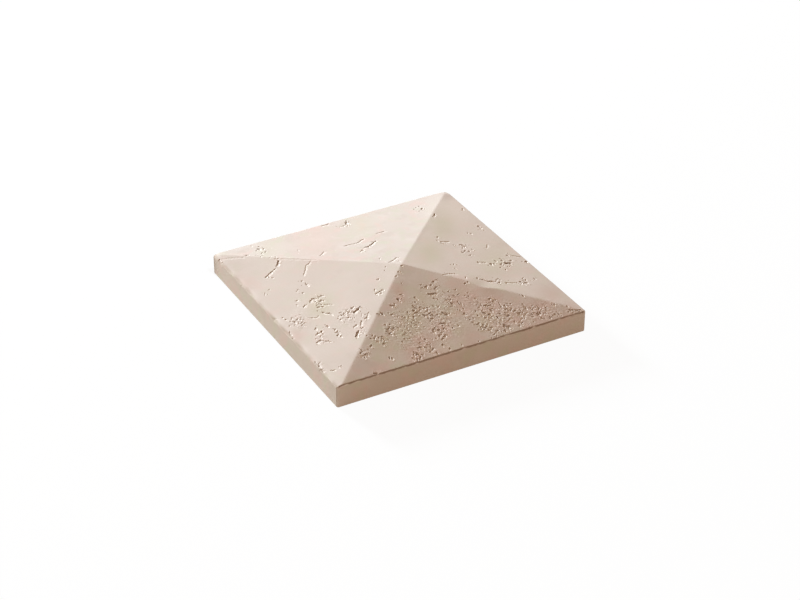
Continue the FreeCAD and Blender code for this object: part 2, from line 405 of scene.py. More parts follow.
# Colours of the stone: the weathered falls, the moulded band and the bed, each with its shades.
Shades = namedtuple("Shades", "main pale dark rosy olive")
FALL_SHADES = Shades(
    main=(0.640, 0.557, 0.490),
    pale=(0.665, 0.585, 0.518),
    dark=(0.610, 0.524, 0.456),
    rosy=(0.670, 0.538, 0.472),
    olive=(0.612, 0.564, 0.460),
)
BAND_SHADES = Shades(
    main=(0.516, 0.426, 0.340),
    pale=(0.534, 0.444, 0.358),
    dark=(0.498, 0.407, 0.320),
    rosy=(0.540, 0.414, 0.333),
    olive=(0.498, 0.433, 0.323),
)
BED_SHADES = Shades(
    main=(0.560, 0.500, 0.440),
    pale=(0.630, 0.580, 0.520),
    dark=(0.470, 0.410, 0.350),
    rosy=(0.570, 0.490, 0.430),
    olive=(0.540, 0.500, 0.420),
)
# Dark colour of the pits' dirt and painted shade, of the painted shade under the lip and of dark painted
# specks.
DIRT_AND_PAINTED_SHADE_COLOUR = (0.23, 0.15, 0.10)
# Pale colour of painted highlights on lit run-outs, rims and pale specks.
PAINTED_HIGHLIGHT_COLOUR = (0.88, 0.80, 0.72)
RUST_COLOUR = (0.63, 0.43, 0.36)
OCHRE_COLOUR = (0.60, 0.56, 0.40)
GRIME_COLOUR = (0.50, 0.41, 0.35)
# Pale colour of the pale patches, and of the painted light on the near left and far right falls.
PALE_AND_PAINTED_LIGHT_COLOUR = (0.745, 0.655, 0.580)
# Strength of the pits' dark colour, partly dirt and partly painted shade.
PIT_DIRT_AND_PAINTED_SHADE = 0.75
# Strength of the painted shade in the hollow under the lip.
LIP_PAINTED_SHADE = 0.82
# Strengths of the painted highlights on rims and on run-outs lit by the key.
RIM_PAINTED_HIGHLIGHT = 0.35
RUN_OUT_PAINTED_HIGHLIGHT = 0.9
# Height at which a rim has its full painted highlight.
RIM_FULL = 0.00014
RUST_TINT = 0.68
OCHRE_TINT = 0.62
# Depths of a pit, and shares of the lip's depth, at which painted shade, and in the pits dirt, comes in.
PIT_DIRT_AND_SHADE_DEPTHS = (0.0003, 0.0010)
LIP_PAINTED_SHADE_SHARES = (0.2, 0.6)
# Painted specks on crumbly ground: strength of the shade and highlight ones, and where their noise cuts in.
PAINTED_SHADE_SPECKS = 0.5
PAINTED_HIGHLIGHT_SPECKS = 1.0
SPECK_EDGE = (0.55, 0.62)

# Texture scales in waves a metre, and the finish.
CLOUD_SCALE = 28.0
HUE_SCALE = 34.0
CLOUD_DETAIL = 3.0
# Noise values between which a shade drifts in.
DRIFT_EDGE = (0.5, 0.68)
SPECK_SCALE = 260.0
GRAIN_SCALE = 520.0
GRAIN_DETAIL = 4.0
GRAIN_HARSHNESS = 0.65
PORE_SCALE = 240.0
BED_PORE_SCALE = 120.0
# Where a pore's side rises, by its distance from the middle, and the grain's values from smooth to rough.
PORE_EDGE = (0.05, 0.3)
GRAIN_RANGE = (0.3, 0.7)
GRAIN_BUMP = 0.25
GRAIN_DEPTH = 0.0003
CRUMB_DEPTH = 0.0004
BED_GRAIN_BUMP = 0.5
ROUGHNESS = (0.78, 0.96)
SPECULAR = 0.2

# Lights by their angle from +Y toward +X, height angle, distance, size, power and colour.
Light = namedtuple("Light", "azimuth elevation distance size power colour")
KEY = Light(-13.0, 14.5, 9.0, 1.6, 2244.0, (0.779, 0.892, 1.0))
NEAR_FILL = Light(185.0, 12.0, 6.0, 4.0, 100.0, (1.0, 0.90, 0.91))
AMBIENT_COLOUR = (1.0, 0.734, 0.513)
AMBIENT_STRENGTH = 0.41

# Floor: half its side, its colour, and how much of its own shade the camera sees on the white.
FLOOR_REACH = 30.0
FLOOR_COLOUR = (0.8, 0.8, 0.8)
FLOOR_WHITE = (1.0, 1.0, 1.0)
FLOOR_ROUGHNESS = 1.0
FLOOR_SHADE = 0.05
# Studio card that keeps the key off the far band: its gap, its height, its reach past the left corner.
CARD_GAP = 0.02
CARD_HEIGHT = 0.045
CARD_PAST = 0.006


def opaque(colour):
    """A colour with full cover."""
    return (*colour, 1.0)


def toward(light):
    """Unit vector from the cap toward a light."""
    azimuth = math.radians(light.azimuth)
    elevation = math.radians(light.elevation)
    level = math.cos(elevation)
    return np.array((math.sin(azimuth) * level, math.cos(azimuth) * level, math.sin(elevation)))


def view_axes():
    """The camera's place, and its right, up and back directions."""
    level = math.cos(VIEW_ELEVATION)
    back = np.array((
        math.sin(VIEW_AZIMUTH) * level,
        -math.cos(VIEW_AZIMUTH) * level,
        math.sin(VIEW_ELEVATION),
    ))
    right = np.array((math.cos(VIEW_AZIMUTH), math.sin(VIEW_AZIMUTH), 0.0))
    return VIEW_TARGET + back * VIEW_DISTANCE, right, np.cross(back, right), back


def corner_share(x, y):
    """How far a plan point lies from the right ridge toward the near corner, where it is 1."""
    aside = (HALF + POINT[1]) * (x - POINT[0]) + (HALF - POINT[0]) * (y - POINT[1])
    return -aside / (SIDE * (HALF + POINT[1]))


def fall_height(x, y):
    """Height of the cap's top over a plan point: the lowest of the four falls, blended at the ridges."""
    away = ((x - RIDGE_SHIFT[0]) ** 2 + (y - RIDGE_SHIFT[1]) ** 2) / SHIFT_REACH**2
    shift = SHIFT_HEIGHT * np.exp(-away)
    far_right = RISE * (HALF - x) / (HALF - POINT[0]) - shift
    near_left = RISE * (HALF + x) / (HALF + POINT[0])
    far_left = RISE * (HALF - y) / (HALF - POINT[1])
    near_right = RISE * (HALF + y) / (HALF + POINT[1]) + CORNER_RISE * corner_share(x, y) + shift
    height = far_right
    for fall in (near_left, far_left, near_right):
        overlap = np.clip(RIDGE_BLEND - np.abs(height - fall), 0, None)
        height = np.minimum(height, fall) - overlap**2 / (4 * RIDGE_BLEND)
    return BAND_HEIGHT + height


def on_falls(pixels):
    """Plan points of the falls that the picture shows at these pixels."""
    place, right, up, back = view_axes()
    offset = (np.asarray(pixels, float) - IMAGE_SIZE / 2) / FOCAL_PIXELS
    rays = offset[:, :1] * right - offset[:, 1:] * up - back
    height = np.full(len(rays), BAND_HEIGHT)
    for _ in range(SIGHT_STEPS):
        points = place + rays * ((height - place[2]) / rays[:, 2])[:, None]
        height = fall_height(points[:, 0], points[:, 1])
    return points[:, :2]


def in_picture(points):
    """Pixels at which the picture shows these points."""
    place, right, up, back = view_axes()
    ways = points - place
    distance = -(ways @ back)
    across = (ways @ right) / distance
    down = -(ways @ up) / distance
    return IMAGE_SIZE / 2 + FOCAL_PIXELS * np.stack((across, down), 1)


def patches_at(points, patches):
    """How strongly each point lies in one of the picture's patches, which fade outward."""
    pixels = in_picture(points)
    share = np.zeros(len(points))
    for x, y, reach, strength in patches:
        distance = np.hypot(pixels[:, 0] - x, pixels[:, 1] - y)
        share = np.maximum(share, strength * np.exp(-((distance / reach) ** 2)))
    return share


def cloud(seed, wavelength):
    """Smooth seeded noise over the plan, of unit spread, whose lumps are about a wavelength apart."""
    noise = np.random.default_rng(seed).standard_normal((MAP_CELLS, MAP_CELLS))
    waves = np.fft.fftfreq(MAP_CELLS, d=SIDE / MAP_CELLS) * wavelength
    kept = np.exp(-WAVE_CUT * (waves[:, None] ** 2 + waves[None, :] ** 2))
    lumps = np.fft.ifft2(np.fft.fft2(noise) * kept).real
    return lumps / lumps.std()


def read_map(values, plan):
    """Values of a map at plan points, read between its cells."""
    last = MAP_CELLS - 1
    places = np.clip((plan / SIDE + 0.5) * last, 0, last)
    first = np.minimum(places.astype(int), last - 1)
    (u, v), (j, i) = (places - first).T, first.T
    lower = values[i, j] * (1 - u) + values[i, j + 1] * u
    upper = values[i + 1, j] * (1 - u) + values[i + 1, j + 1] * u
    return lower * (1 - v) + upper * v


def bite_at(rng, spot, wear, turn):
    """One uneven bite, whose shaded side is at the spot."""
    middle = spot - toward(KEY)[:2] * SHADE_OFFSET * wear.half_width
    x, y = middle + rng.normal(0, BITE_STRAY * wear.half_width, 2)
    half_width = wear.half_width * rng.uniform(*BITE_WIDTH)
    half_length = half_width * rng.uniform(*BITE_LENGTH)
    depth = wear.depth * rng.uniform(*BITE_DEPTH)
    return Bite(x, y, half_length, half_width, turn, depth)


def bites_along(rng, run, wear):
    """Bites along a run of pixels, which make one ragged fissure."""
    corners = on_falls(run)
    bites = []
    for start, end in zip(corners[:-1], corners[1:]):
        way = end - start
        length = np.hypot(*way)
        turn = math.atan2(way[1], way[0])
        for step in np.arange(0, length, wear.half_width):
            bites.append(bite_at(rng, start + way * step / length, wear, turn + rng.normal(0, BITE_TURN)))
    return bites


def bites_at(rng, spots, wear):
    """Separate bites at pixels, lying about the same way."""
    return [bite_at(rng, spot, wear, rng.normal(SPECK_TURN, SPECK_STRAY)) for spot in on_falls(spots)]


def gather_bites():
    """All bites of the falls."""
    rng = np.random.default_rng(SEED)
    bites = []
    for run in GOUGES:
        bites += bites_along(rng, run, GOUGE)
    bites += bites_at(rng, HOLES, GOUGE)
    for run in FAINT_CUTS:
        bites += bites_along(rng, run, SCRATCH)
    for run in RIDGE_LINES:
        bites += bites_along(rng, run, RIDGE_LINE)
    for width, depth, cuts, pits, clusters in FALL_MARKS:
        cut, pit, speck = (Wear(wear.half_width * width, wear.depth * depth) for wear in (CUT, PIT, SPECK))
        for run in cuts:
            bites += bites_along(rng, run, cut)
        bites += bites_at(rng, pits, pit)
        for x, y, reach, number in clusters:
            spots = (x, y) + rng.uniform(-reach, reach, (number, 2))
            bites += bites_at(rng, spots, speck)
    return bites


def cells_within(reach, middle):
    """The cells along one axis of a map that lie within a reach of a middle."""
    cell = SIDE / (MAP_CELLS - 1)
    first = max(int((middle + HALF - reach) / cell), 0)
    last = min(int((middle + HALF + reach) / cell) + 2, MAP_CELLS)
    return slice(first, max(first, last))


def carve(bites):
    """Depth and rim height of the bites, and their key-lit sides for a painted highlight, over the plan,
    with ragged outlines.
    """
    levels = np.full((MAP_CELLS, MAP_CELLS), -HALF)
    rims, lit_run_out = np.zeros((2, MAP_CELLS, MAP_CELLS))
    ragged = 1 + BITE_RAGGED * cloud(SEED + 1, RAGGED_WAVE)
    lines = np.linspace(-HALF, HALF, MAP_CELLS)
    key = toward(KEY)[:2] / np.hypot(*toward(KEY)[:2])
    for bite in bites:
        reach = BITE_REACH * bite.half_length
        here = cells_within(reach, bite.y), cells_within(reach, bite.x)
        x = lines[None, here[1]] - bite.x
        y = lines[here[0], None] - bite.y
        away = np.clip(-x * key[0] - y * key[1], 0, None)
        x, y = x + RUN_OUT * away * key[0], y + RUN_OUT * away * key[1]
        cos, sin = math.cos(bite.turn), math.sin(bite.turn)
        u = (x * cos + y * sin) / bite.half_length
        v = (y * cos - x * sin) / bite.half_width
        size = np.hypot(u, v) * ragged[here]
        level = bite.depth * (1 - size**2)
        rim = RIM_HEIGHT * bite.depth * np.exp(-(((size - RIM_PLACE) / RIM_WIDTH) ** 2))
        rims[here] = np.maximum(rims[here], rim)
        # Share of the run-out that faces the key, which gets a painted highlight.
        lit_share = eased(away / bite.half_width, *LIT_RUN_OUT_START) * (1 - eased(size, *LIT_RUN_OUT_END))
        lit_run_out[here] = np.where(level > levels[here], lit_share * min(1, bite.depth / LIT_RUN_OUT_DEPTH), lit_run_out[here])
        levels[here] = np.maximum(levels[here], level)
    depths = np.clip(levels, 0, None)
    return depths, rims * np.clip(1 - depths / RIM_END, 0, 1), lit_run_out


def rough_patches():
    """The clusters of specks as patches of crumbly ground."""
    return [(x, y, reach * ROUGH_REACH, min(1, number / ROUGH_NUMBER)) for x, y, reach, number in CLUSTERS]


class Relief:
    """What casting and weather did to the even form: swells, crumbs, wear, pits and the lip of the arris."""

    def __init__(self):
        self.depths, self.rims, self.lit_run_out = carve(gather_bites())
        self.swells = cloud(SEED + 2, SWELL_WAVE) * SWELL_HEIGHT
        self.lips = cloud(SEED + 3, LIP_WAVE)
        self.crumbs = cloud(SEED + 4, ROUGH_WAVE) * ROUGH_HEIGHT
        self.wear = np.clip(1 + WORN_UNEVEN * cloud(SEED + 5, WORN_WAVE), 0, None) * WORN_DEPTH

    def top(self, plan):
        """Height of the falls at plan points, without the pits."""
        even = fall_height(plan[:, 0], plan[:, 1])
        points = np.column_stack((plan, even))
        crumbs = read_map(self.crumbs, plan) * patches_at(points, rough_patches())
        worn = read_map(self.wear, plan) * np.exp(-(((HALF + plan[:, 0]) / WORN_REACH) ** 2))
        for right, far, depth in BLUNT_CORNERS:
            away = np.hypot(plan[:, 0] - right * HALF, plan[:, 1] - far * HALF)
            worn = worn + depth * np.exp(-((away / BLUNT_REACH) ** 2))
        return even + crumbs - worn + read_map(self.swells, plan)

    def pits(self, plan, below=0.0):
        """Depth of the pits at plan points, fading below the arris."""
        return read_map(self.depths, plan) * np.exp(-((below / PIT_FADE) ** 2))

    def below_rim(self, points):
        """How far points lie below the start of the arris beside them, or below the fall above them."""
        rim = np.clip(points[:, :2], RIM_INSET - HALF, HALF - RIM_INSET)
        return np.clip(self.top(rim) - points[:, 2], 0, None)

    def foot(self, plan):
        """Height of the foot edge at plan points."""
        along = np.clip((plan[:, 1] + HALF) / SIDE, 0, 1)
        return FOOT_LIFT * along * np.exp(-(((plan[:, 0] + HALF) / LIFT_REACH) ** 2))

    def lip(self, plan, past):
        """Depth of the hollow under the near right lip, by how far past the end of the fall it is."""
        waver = read_map(self.lips, plan)
        beyond = past - LIP_START - LIP_WAVER * waver
        hollow = eased(beyond, -LIP_EDGE, LIP_EDGE) * np.exp(-((np.clip(beyond, 0, None) / LIP_REACH) ** 2))
        near_right = eased(-plan[:, 1] - np.abs(plan[:, 0]), 0.0, CORNER_RADIUS)
        return LIP_DEPTH * hollow * np.clip(1 + LIP_UNEVEN * waver, 0, None) * near_right


def square_ring(half, corner, cells):
    """A square ring with round corners, from the nearest corner: its points and outward directions."""
    steps = np.arange(cells) / cells * 2 - 1
    ones = np.ones(cells)
    square = half * np.concatenate((
        np.stack((steps, -ones), 1),
        np.stack((ones, steps), 1),
        np.stack((-steps, ones), 1),
        np.stack((-ones, -steps), 1),
    ))
    inner = np.clip(square, corner - half, half - corner)
    outward = square - inner
    outward /= np.linalg.norm(outward, axis=1)[:, None]
    return inner + outward * corner, outward


def ring_faces(outer, inner):
    """Quads between two rings of as many points."""
    return np.stack((outer, inner, np.roll(inner, -1), np.roll(outer, -1)), 1)


def halved_faces(outer, inner):
    """Five-sided faces between a ring and one of half as many points."""
    return np.stack((outer[0::2], inner, np.roll(inner, -1), np.roll(outer, -2)[0::2], outer[1::2]), 1)


class Shell:
    """The closed mesh of the cap, built from the falls outward and down, ring by ring."""

    def __init__(self, relief):
        self.relief = relief
        self.sheets = []
        self.faces = []
        self.count = 0
        self.rim = self.add_falls()
        self.rim_height = relief.top(self.sheets[0][self.rim, :2])
        self.add_band()
        self.add_underside()

    def add_points(self, points):
        """Adds points and gives their numbers."""
        self.sheets.append(points)
        self.count += len(points)
        return np.arange(self.count - len(points), self.count)

    def add_ring(self, plan, height, joined=ring_faces):
        """Adds a ring of points and joins it to the ring before it."""
        ring = self.add_points(np.column_stack((plan, np.broadcast_to(height, len(plan)))))
        self.faces.append(joined(self.rim, ring))
        self.rim = ring

    def add_falls(self):
        """The falls as a square grid, with its outer ring on the start of the arris rounding."""
        lines = np.linspace(-1, 1, CELLS + 1) * (HALF - RIM_INSET)
        plan = np.stack(np.meshgrid(lines, lines), -1).reshape(-1, 2)
        index = np.arange((CELLS + 1) ** 2).reshape(CELLS + 1, CELLS + 1)
        rim = np.concatenate((index[0, :-1], index[:-1, -1], index[-1, :0:-1], index[:0:-1, 0]))
        plan[rim] = square_ring(HALF - RIM_INSET, CORNER_RADIUS - RIM_INSET, CELLS)[0]
        past = RIM_INSET - HALF - plan[:, 1]
        self.kept = np.flatnonzero(past > -LIP_KEPT)
        height = self.relief.top(plan) - self.relief.pits(plan) - self.relief.lip(plan, past)
        height += read_map(self.relief.rims, plan)
        self.add_points(np.column_stack((plan, np.minimum(height, HIGH.z))))
        corners = (index[:-1, :-1], index[:-1, 1:], index[1:, 1:], index[1:, :-1])
        self.faces.append(np.stack(corners, -1).reshape(-1, 4))
        return rim

    def add_band(self):
        """The arris rounding, the rough lip and the straight band."""
        turns = np.linspace(FALL_SLOPE, math.pi / 2, ARRIS_RINGS + 1)[1:]
        lip = np.linspace(0, LIP_SHARE, LIP_RINGS + 1)[1:]
        rest = np.linspace(LIP_SHARE, 1, BAND_RINGS + 1)[1:]
        stations = [(turn, 0.0) for turn in turns]
        stations += [(math.pi / 2, share) for share in (*lip, *rest)]
        start = self.rim_height - ARRIS_RADIUS * math.cos(FALL_SLOPE)
        for turn, share in stations:
            inset = ARRIS_RADIUS * (1 - math.sin(turn))
            plan, outward = square_ring(HALF - inset, CORNER_RADIUS - inset, CELLS)
            height = start + ARRIS_RADIUS * math.cos(turn)
            height = height + (FOOT_RADIUS + self.relief.foot(plan) - height) * share
            below = self.rim_height - height
            depth = self.relief.pits(plan, below) + self.relief.lip(plan, below)
            inward = outward * (math.sin(turn) * depth)[:, None]
            self.add_ring(plan - inward, height - math.cos(turn) * depth)

    def add_underside(self):
        """The foot rounding, the drip groove and the bed."""
        for turn in np.linspace(0, math.pi / 2, FOOT_RINGS + 1)[1:]:
            inset = FOOT_RADIUS * (1 - math.cos(turn))
            plan, _ = square_ring(HALF - inset, CORNER_RADIUS - inset, CELLS)
            self.add_ring(plan, self.relief.foot(plan) + FOOT_RADIUS * (1 - math.sin(turn)))
        for turn in np.linspace(0, math.pi, DRIP_RINGS + 1):
            offset = DRIP_RADIUS * math.cos(turn)
            plan, _ = square_ring(HALF - DRIP_INSET + offset, DRIP_CORNER + offset, CELLS)
            self.add_ring(plan, DRIP_RADIUS * math.sin(turn))
        cells, half = CELLS, HALF - DRIP_INSET - DRIP_RADIUS
        while cells % 2 == 0 and cells > BED_CELLS:
            cells, half = cells // 2, half * BED_SHRINK
            plan, _ = square_ring(half, DRIP_CORNER - DRIP_RADIUS, cells)
            self.add_ring(plan, 0.0, halved_faces)
        self.faces.append(self.rim[::-1][None, :])

    def mesh(self, name):
        """The shell as a mesh."""
        corners = np.concatenate([group.ravel() for group in self.faces])
        sizes = np.concatenate([np.full(len(group), group.shape[1]) for group in self.faces])
        mesh = bpy.data.meshes.new(name)
        mesh.vertices.add(self.count)
        mesh.vertices.foreach_set("co", np.concatenate(self.sheets).astype(np.float32).ravel())
        mesh.loops.add(len(corners))
        mesh.loops.foreach_set("vertex_index", corners.astype(np.int32))
        mesh.polygons.add(len(sizes))
        mesh.polygons.foreach_set("loop_start", (np.cumsum(sizes) - sizes).astype(np.int32))
        mesh.update(calc_edges=True)
        mesh.validate()
        return mesh


def applied(piece, modifier):
    """The piece's mesh as its modifier leaves it. The modifier is removed."""
    bpy.context.view_layer.update()
    graph = bpy.context.evaluated_depsgraph_get()
    mesh = bpy.data.meshes.new_from_object(piece.evaluated_get(graph))
    piece.modifiers.remove(modifier)
    return mesh


def smoothed(piece):
    """The piece's mesh shaded smooth, so that each wide flat face keeps its own shade up to its edge."""
    piece.data.shade_smooth()
    piece.data.set_sharp_from_angle(angle=SHARP_ANGLE)
    even = piece.modifiers.new("even", "WEIGHTED_NORMAL")
    even.keep_sharp = True
    return applied(piece, even)


def thinned(piece, triangles, kept):
    """The piece's mesh with fewer triangles, still close where it bends and at the kept points."""
    now = sum(len(face.vertices) - 2 for face in piece.data.polygons)
    piece.vertex_groups.new(name="kept").add(kept.tolist(), 1.0, "REPLACE")
    thin = piece.modifiers.new("thin", "DECIMATE")
    thin.ratio = triangles / now
    thin.vertex_group = "kept"
    thin.invert_vertex_group = True
    mesh = applied(piece, thin)
    piece.vertex_groups.clear()
    return mesh


def add_value(mesh, name, values):
    """A value at each vertex, which a material reads by its name."""
    attribute = mesh.attributes.new(name, "FLOAT", "POINT")
    attribute.data.foreach_set("value", values.astype(np.float32))


def eased(values, low, high):
    """Values turned into shares that rise smoothly from 0 at low to 1 at high."""
    share = np.clip((values - low) / (high - low), 0, 1)
    return share * share * (3 - 2 * share)


def band_share(points):
    """Share of the band's own colour, which comes in sharply at a crisp arris and softly at the worn one."""
    x, y, z = points.T
    under = BAND_HEIGHT - z
    worn = eased(np.minimum(y, -y) - x, -WORN_TURN, WORN_TURN)
    return eased(under, *CRISP_EDGE) * (1 - worn) + eased(under, *WORN_EDGE) * worn


def mark_surface(mesh, relief):
    """Gives each vertex its shares of band, pit dirt and painted shade, lip painted shade, painted
    highlight, crumbly ground, painted light and colour patches.
    """
    points = np.empty(len(mesh.vertices) * 3, np.float32)
    mesh.vertices.foreach_get("co", points)
    points = points.reshape(-1, 3).astype(float)
    plan = points[:, :2]
    below = relief.below_rim(points)
    outside = np.abs(plan).max(1) > HALF - RIM_INSET
    pits = relief.pits(plan, below * outside)
    lit_run_out = read_map(relief.lit_run_out, plan)
    band = band_share(points + np.outer(pits * ~outside, (0, 0, 1)))
    past = np.where(outside, below, RIM_INSET - HALF - plan[:, 1])
    lip = relief.lip(plan, past) / LIP_DEPTH
    aside = np.abs(plan - POINT)
    # Painted light: a paler tone on the near left and far right falls.
    pale_and_painted_light = PAINTED_LIGHT_SHARE * eased(aside[:, 0] - aside[:, 1], -PAINTED_LIGHT_WIDTH, PAINTED_LIGHT_WIDTH)
    add_value(mesh, "band", band)
    # Pits darken by their depth, partly dirt and partly painted shade; the run-outs lit by the key keep
    # none.
    add_value(mesh, "pit", eased(pits, *PIT_DIRT_AND_SHADE_DEPTHS) * (1 - lit_run_out) * PIT_DIRT_AND_PAINTED_SHADE)
    # The hollow under the near right lip darkens by its depth, as painted shade.
    add_value(mesh, "lip", eased(lip, *LIP_PAINTED_SHADE_SHARES) * LIP_PAINTED_SHADE)
    # Rims and the run-outs lit by the key get a painted highlight.
    rim = np.clip(read_map(relief.rims, plan) / RIM_FULL, 0, 1) * RIM_PAINTED_HIGHLIGHT
    add_value(mesh, "painted_highlight", np.maximum(rim, lit_run_out * RUN_OUT_PAINTED_HIGHLIGHT) * (1 - band))
    add_value(mesh, "rough", patches_at(points, rough_patches()) * (1 - band))
    # The stone's own pale patches, together with the painted light on two falls.
    add_value(mesh, "pale_and_painted_light", np.maximum(pale_and_painted_light, patches_at(points, PALE)))
    add_value(mesh, "grimy", patches_at(points, GRIMY))
    add_value(mesh, "rust", patches_at(points, RUSTY) * RUST_TINT)
    add_value(mesh, "ochre", patches_at(points, OCHRE) * OCHRE_TINT)


def mark_bed(mesh):
    """Gives the underside and the drip groove the second material."""
    count = len(mesh.polygons)
    middles = np.empty(count * 3, np.float32)
    mesh.polygons.foreach_get("center", middles)
    middles = middles.reshape(-1, 3)
    inside = np.abs(middles[:, :2]).max(1) < HALF - FOOT_RADIUS
    bed = inside & (middles[:, 2] < DRIP_RADIUS)
    mesh.polygons.foreach_set("material_index", bed.astype(np.int32))


def make_cap():
    """The weathered cap as one closed piece."""
    relief = Relief()
    shell = Shell(relief)
    cap = bpy.data.objects.new("weathered_cap", shell.mesh("weathered_cap"))
    bpy.context.scene.collection.objects.link(cap)
    cap.data = thinned(cap, TRIANGLES, shell.kept)
    cap.data = smoothed(cap)
    mark_surface(cap.data, relief)
    cap.data.materials.append(weathered_stone())
    cap.data.materials.append(bed_stone())
    mark_bed(cap.data)
    return cap


class Nodes:
    """Adds nodes to a tree and links them."""

    def __init__(self, tree):
        self.tree = tree

    def add(self, kind, **settings):
        """A new node with its settings."""
        node = self.tree.nodes.new(kind)
        for name, value in settings.items():
            setattr(node, name, value)
        return node

    def link(self, source, target):
        """Joins an output to an input."""
        self.tree.links.new(source, target)

    def noise(self, place, scale, detail):
        """Noise at a place, whose scale is a number or another node's output."""
        node = self.add("ShaderNodeTexNoise")
        self.link(place, node.inputs["Vector"])
        node.inputs["Detail"].default_value = detail
        self.give(node.inputs["Scale"], scale)
        return node

    def lots(self, place, scale):
        """Three independent noises at a place, as the channels of one."""
        split = self.add("ShaderNodeSeparateColor")
        self.link(self.noise(place, scale, CLOUD_DETAIL).outputs["Color"], split.inputs["Color"])
        return split.outputs

    def give(self, target, value):
        """Sets an input to a number or a colour, or links it."""
        if isinstance(value, bpy.types.NodeSocket):
            self.link(value, target)
        else:
            target.default_value = value

    def span(self, value, low, high, new_low=0.0, new_high=1.0):
        """A value moved from one range to another."""
        node = self.add("ShaderNodeMapRange", interpolation_type="SMOOTHSTEP")
        self.link(value, node.inputs["Value"])
        limits = {"From Min": low, "From Max": high, "To Min": new_low, "To Max": new_high}
        for name, number in limits.items():
            node.inputs[name].default_value = number
        return node.outputs["Result"]

    def product(self, first, second):
        """Two values multiplied."""
        node = self.add("ShaderNodeMath", operation="MULTIPLY")
        self.give(node.inputs[0], first)
        self.give(node.inputs[1], second)
        return node.outputs["Value"]

    def mix(self, share, first, second):
        """Two colours mixed by a share."""
        node = self.add("ShaderNodeMix", data_type="RGBA")
        self.link(share, node.inputs["Factor"])
        self.give(node.inputs["A"], first)
        self.give(node.inputs["B"], second)
        return node.outputs["Result"]

    def attribute(self, name):
        """A value of the vertices."""
        return self.add("ShaderNodeAttribute", attribute_name=name).outputs["Fac"]

    def group(self, tree, **values):
        """A placed node group with its values."""
        node = self.add("ShaderNodeGroup", node_tree=tree)
        for name, value in values.items():
            node.inputs[name].default_value = value
        return node


def new_group(name, inputs, outputs):
    """An empty shader node group with its named inputs and outputs."""
    tree = bpy.data.node_groups.new(name, "ShaderNodeTree")
    for title, kind in inputs:
        tree.interface.new_socket(title, in_out="INPUT", socket_type=kind)
    for title, kind in outputs:
        tree.interface.new_socket(title, in_out="OUTPUT", socket_type=kind)
    nodes = Nodes(tree)
    return nodes, nodes.add("NodeGroupInput").outputs, nodes.add("NodeGroupOutput").inputs


def mottle_group():
    """Cast stone's uneven colour: cloudy pale and dark shades, with rosy and olive drifts."""
    colours = [(name.capitalize(), "NodeSocketColor") for name in Shades._fields]
    scales = [(name, "NodeSocketFloat") for name in ("Cloud Scale", "Hue Scale")]
    nodes, given, result = new_group("stone_mottle", colours + scales, [("Color", "NodeSocketColor")])
    place = nodes.add("ShaderNodeTexCoord").outputs["Object"]
    clouds = nodes.lots(place, given["Cloud Scale"])
    hues = nodes.lots(place, given["Hue Scale"])
    colour = given["Main"]
    drifts = {"Pale": clouds["Red"], "Dark": clouds["Green"], "Rosy": hues["Red"], "Olive": hues["Green"]}
    for name, lot in drifts.items():
        colour = nodes.mix(nodes.span(lot, *DRIFT_EDGE), colour, given[name])
    nodes.link(colour, result["Color"])
    return nodes.tree


def grain_group():
    """Sandy grain with fine pores: a height for bump, and a value for the finish."""
    inputs = [(name, "NodeSocketFloat") for name in ("Grain Scale", "Pore Scale")]
    outputs = [(name, "NodeSocketFloat") for name in ("Height", "Finish")]
    nodes, given, result = new_group("sand_grain", inputs, outputs)
    place = nodes.add("ShaderNodeTexCoord").outputs["Object"]
    sand = nodes.noise(place, given["Grain Scale"], GRAIN_DETAIL)
    sand.inputs["Roughness"].default_value = GRAIN_HARSHNESS
    grain = sand.outputs["Fac"]
    cells = nodes.add("ShaderNodeTexVoronoi", feature="F1")
    nodes.link(place, cells.inputs["Vector"])
    nodes.link(given["Pore Scale"], cells.inputs["Scale"])
    pores = nodes.span(cells.outputs["Distance"], *PORE_EDGE)
    nodes.link(nodes.product(grain, pores), result["Height"])
    nodes.link(nodes.span(grain, *GRAIN_RANGE), result["Finish"])
    return nodes.tree


def new_material(name):
    """An empty material with its shader."""
    material = bpy.data.materials.new(name)
    material.use_nodes = True
    return material, Nodes(material.node_tree), material.node_tree.nodes["Principled BSDF"]


def finish_stone(nodes, shader, grain, bump):
    """Roughness and bump from the grain, and a matte gloss. Gives the bump's node."""
    shader.inputs["Specular IOR Level"].default_value = SPECULAR
    nodes.link(nodes.span(grain.outputs["Finish"], 0, 1, *ROUGHNESS), shader.inputs["Roughness"])
    relief = nodes.add("ShaderNodeBump")
    relief.inputs["Strength"].default_value = bump
    relief.inputs["Distance"].default_value = GRAIN_DEPTH
    nodes.link(grain.outputs["Height"], relief.inputs["Height"])
    nodes.link(relief.outputs["Normal"], shader.inputs["Normal"])
    return relief


def mottle(nodes, shades):
    """The mottled colour of one face of the stone."""
    values = {name.capitalize(): opaque(colour) for name, colour in shades._asdict().items()}
    placed = nodes.group(MOTTLE, **values)
    placed.inputs["Cloud Scale"].default_value = CLOUD_SCALE
    placed.inputs["Hue Scale"].default_value = HUE_SCALE
    return placed.outputs["Color"]


